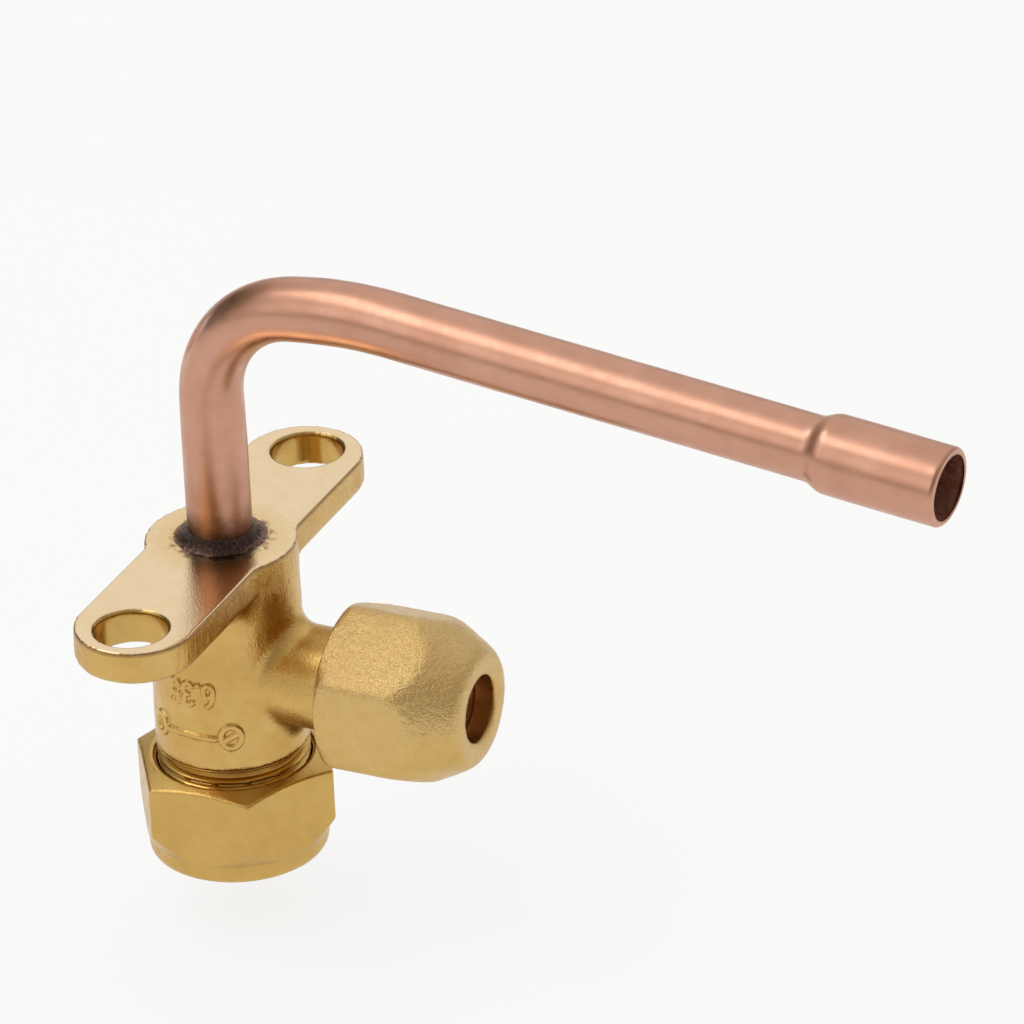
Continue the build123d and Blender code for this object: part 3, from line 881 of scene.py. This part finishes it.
def make_tube():
    rings, lengths, outside = tube_rings()
    # the tube's own plane, swung round the leg
    away, aside = cos(ARM_AZIMUTH), sin(ARM_AZIMUTH)
    swing = np.array([[away, -aside, 0], [aside, away, 0], [0, 0, 1]])
    mesh = ring_mesh("copper_tube_skin", rings @ swing.T)
    n = normals(mesh)
    co = get_points(mesh)
    # faint handling dents
    out = np.repeat(np.arange(len(rings)) < outside, TUBE_COLS)
    dents = 0.012 * noise(co, 5.0, 81) + 0.006 * noise(co, 2.0, 83)
    push = np.where(out & (co[:, 2] > 1.0), dents, 0)
    # the bender's mark: a short slanting crease on the outer side of the bend, towards -Y
    mark_at, mark_round, mark_depth = LEG + 6.3, radians(41), 0.26
    s = np.repeat(lengths, TUBE_COLS) - mark_at
    a = (np.tile(np.arange(TUBE_COLS), len(rings)) / TUBE_COLS * tau + pi) % tau - pi
    a = a + mark_round - 0.05 * s
    push -= out * mark_depth * np.exp(-(s / 1.8) ** 2 - (a / 0.12) ** 2)
    set_points(mesh, keep_inside(co + n * push[:, None], "copper_tube"))
    tube_uvs(mesh, lengths)
    obj = add_object("copper_tube_skin", mesh)
    ring_of = np.arange(len(mesh.polygons)) // TUBE_COLS
    paint(obj, [COPPER, INSIDE], np.where(ring_of >= outside + 3, 1, 0))
    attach(obj, "valve")
    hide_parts("copper_tube")


def make_braze():
    """A lumpy ring of braze: it climbs the tube a little and runs out on the flange."""
    inner_r, reach_r, climb_mm, sunk_z = 3.17, 4.5, 1.25, -0.02
    cols, steps = 360, 26
    a = np.arange(cols) * tau / cols
    circle = np.column_stack([np.cos(a), np.sin(a), np.zeros(cols)]) * reach_r
    reach = reach_r + 0.14 * noise(circle, 1.3, 91) + 0.10 * noise(circle, 0.45, 92)
    reach = reach + 0.58 * np.cos(a - 2.0)
    climb = climb_mm + 0.25 * noise(circle, 2.0, 93) + 0.10 * noise(circle, 0.6, 94)

    def ring(r, z):
        return np.column_stack([np.cos(a) * r, np.sin(a) * r, z * np.ones(cols)])

    rings = [ring(inner_r, climb)]
    for k in range(steps + 1):
        t = k / steps
        belly = np.sin(pi * min(t * 0.98 + 0.02, 1)) ** 0.5
        height = climb * (1 - t) ** 3.0 + 0.20 * (1 - t ** 6) * belly + 0.02
        p = ring(inner_r + 0.02 + (reach - inner_r - 0.02) * t, height)
        lumps = 0.09 * noise(p, 0.8, 95) + 0.05 * noise(p, 0.35, 96)
        p[:, 2] = np.maximum(p[:, 2] + lumps * np.sin(pi * t) ** 0.7, 0.012)
        rings.append(p)
    rings.append(ring(reach - 0.02, sunk_z))
    rings.append(ring(inner_r, sunk_z))
    obj = add_object("braze_ring", ring_mesh("braze_ring", rings))
    paint(obj, [BRAZE])
    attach(obj, "valve")
    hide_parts("braze_fillet")


make_forging()
make_spigot()
make_port()
make_cap()
make_nut()
make_tube()
make_braze()


# ---- floor, light, camera ------------------------------------------------------------
def make_floor(z):
    """A pale card, whiter to the lens and in reflections, that keeps the object's shadow."""
    size, whiteness = 2.5, 0.82
    corners = [(-size, -size, z), (size, -size, z), (size, size, z), (-size, size, z)]
    mesh = bpy.data.meshes.new("floor")
    mesh.from_pydata(corners, [], [(0, 1, 2, 3)])
    floor = add_object("floor", mesh)
    s = Shader("floor_card", metallic=0.0)
    colour = s.mix(s.patches(60.0, 2, 0.3, 0.7), (0.94, 0.94, 0.94), (0.96, 0.96, 0.96))
    s.feed(s.bsdf.inputs["Base Color"], colour)
    s.bsdf.inputs["Roughness"].default_value = 0.9
    floor.data.materials.append(s.mat)
    path = s.node("LightPath")
    seen = s.maths("MAXIMUM", path.outputs["Is Camera Ray"], path.outputs["Is Glossy Ray"])
    seen = s.maths("MAXIMUM", seen, path.outputs["Is Transmission Ray"])
    glow = s.node("Emission")
    blend = s.node("MixShader")
    s.join(s.maths("MULTIPLY", seen, whiteness), blend.inputs[0])
    s.join(s.bsdf.outputs[0], blend.inputs[1])
    s.join(glow.outputs[0], blend.inputs[2])
    s.join(blend.outputs[0], s.out.inputs["Surface"])


def softbox(name, towards, distance, size, radiance):
    """A soft rectangular lamp that faces the object from a direction."""
    lamp = bpy.data.lights.new(name, "AREA")
    lamp.shape = "RECTANGLE"
    lamp.size, lamp.size_y = size
    lamp.energy = radiance * pi * size[0] * size[1]
    obj = bpy.data.objects.new(name, lamp)
    obj.location = Vector(towards).normalized() * distance
    obj.rotation_euler = (-obj.location).to_track_quat("-Z", "Y").to_euler()
    scene.collection.objects.link(obj)


def make_world():
    """White tent: brightest behind on the left, dimmer on the right, by the lens and at the
    horizon, and darkest low on the left."""
    world = bpy.data.worlds.new("studio")
    scene.world = world
    world.use_nodes = True
    tree = world.node_tree
    tree.nodes.clear()

    def node(kind):
        return tree.nodes.new("ShaderNode" + kind)

    way = node("TexCoord").outputs["Generated"]

    def towards(direction, start, end, low, high):
        """From low to high as the cosine to a direction goes from start to end."""
        dot = node("VectorMath")
        dot.operation = "DOT_PRODUCT"
        dot.inputs[1].default_value = Vector(direction).normalized()
        tree.links.new(way, dot.inputs[0])
        span = node("MapRange")
        tree.links.new(dot.outputs["Value"], span.inputs["Value"])
        span.inputs["From Min"].default_value = start
        span.inputs["From Max"].default_value = end
        span.inputs["To Min"].default_value = low
        span.inputs["To Max"].default_value = high
        return span.outputs[0]

    def times(a, b):
        n = node("Math")
        n.operation = "MULTIPLY"
        tree.links.new(a, n.inputs[0])
        tree.links.new(b, n.inputs[1])
        return n.outputs[0]

    behind_left = towards((-0.80, 0.30, 0.50), -1, 1, 0.32, 0.98)
    by_lens = towards((0.38, -0.79, 0.48), 0.66, 0.97, 1.0, 0.66)
    low_left = towards((-0.97, 0.20, 0.12), 0.72, 0.94, 1.0, 0.14)
    horizon = towards((0, 0, 1), 0.02, 0.32, 0.50, 1.0)
    glow = times(times(times(behind_left, by_lens), low_left), horizon)
    tone = node("ValToRGB")
    stops = tone.color_ramp.elements
    stops[0].color = (0, 0, 0, 1)
    stops[1].color = (1, 1, 1, 1)
    stops.new(0.40).color = (0.45, 0.400, 0.325, 1)
    stops.new(0.75).color = (0.77, 0.762, 0.745, 1)
    tree.links.new(glow, tone.inputs[0])
    pick = node("Mix")
    pick.data_type = "RGBA"
    tree.links.new(node("LightPath").outputs["Is Camera Ray"], pick.inputs[0])
    tree.links.new(tone.outputs[0], pick.inputs[6])
    pick.inputs[7].default_value = (0.97, 0.97, 0.97, 1)
    back = node("Background")
    tree.links.new(pick.outputs[2], back.inputs[0])
    tree.links.new(back.outputs[0], node("OutputWorld").inputs[0])


# the floor lies just below where the cap ends when it is screwed right down
make_floor(cad_box[0][2] - (CAP_TRAVEL + 0.1) * MM)
softbox("key", towards=(-0.42, -0.24, 0.87), distance=0.85, size=(0.60, 0.28), radiance=2.0)
softbox("front", towards=(-0.40, -0.80, 0.44), distance=0.90, size=(0.60, 0.45), radiance=0.60)
make_world()

# The photograph's viewpoint: heading, dip and roll of the lens, and where the origin lies from it.
HEADING, DIP, ROLL = radians(-25.856), radians(28.629), radians(2.537)
ORIGIN_FROM_LENS = Vector((-28.21, 2.397, 774.64)) * MM     # right, down, ahead
SENSOR_WIDTH, FOCAL_LENGTH = 36, 281.25                     # in millimetres, as Blender has them
ahead = Vector((cos(DIP) * sin(HEADING), cos(DIP) * cos(HEADING), -sin(DIP)))
right = Vector((cos(HEADING), -sin(HEADING), 0))
down = ahead.cross(right)
right, down = right * cos(ROLL) + down * sin(ROLL), down * cos(ROLL) - right * sin(ROLL)
lens = bpy.data.cameras.new("camera")
lens.sensor_width = SENSOR_WIDTH
lens.lens = FOCAL_LENGTH
lens.clip_start, lens.clip_end = 0.01, 20
camera = bpy.data.objects.new("camera", lens)
at = -(right * ORIGIN_FROM_LENS.x + down * ORIGIN_FROM_LENS.y + ahead * ORIGIN_FROM_LENS.z)
turn = Matrix((right, -down, -ahead)).transposed().to_4x4()
camera.matrix_world = Matrix.Translation(at) @ turn
scene.collection.objects.link(camera)
scene.camera = camera
scene.view_settings.view_transform = "Standard"
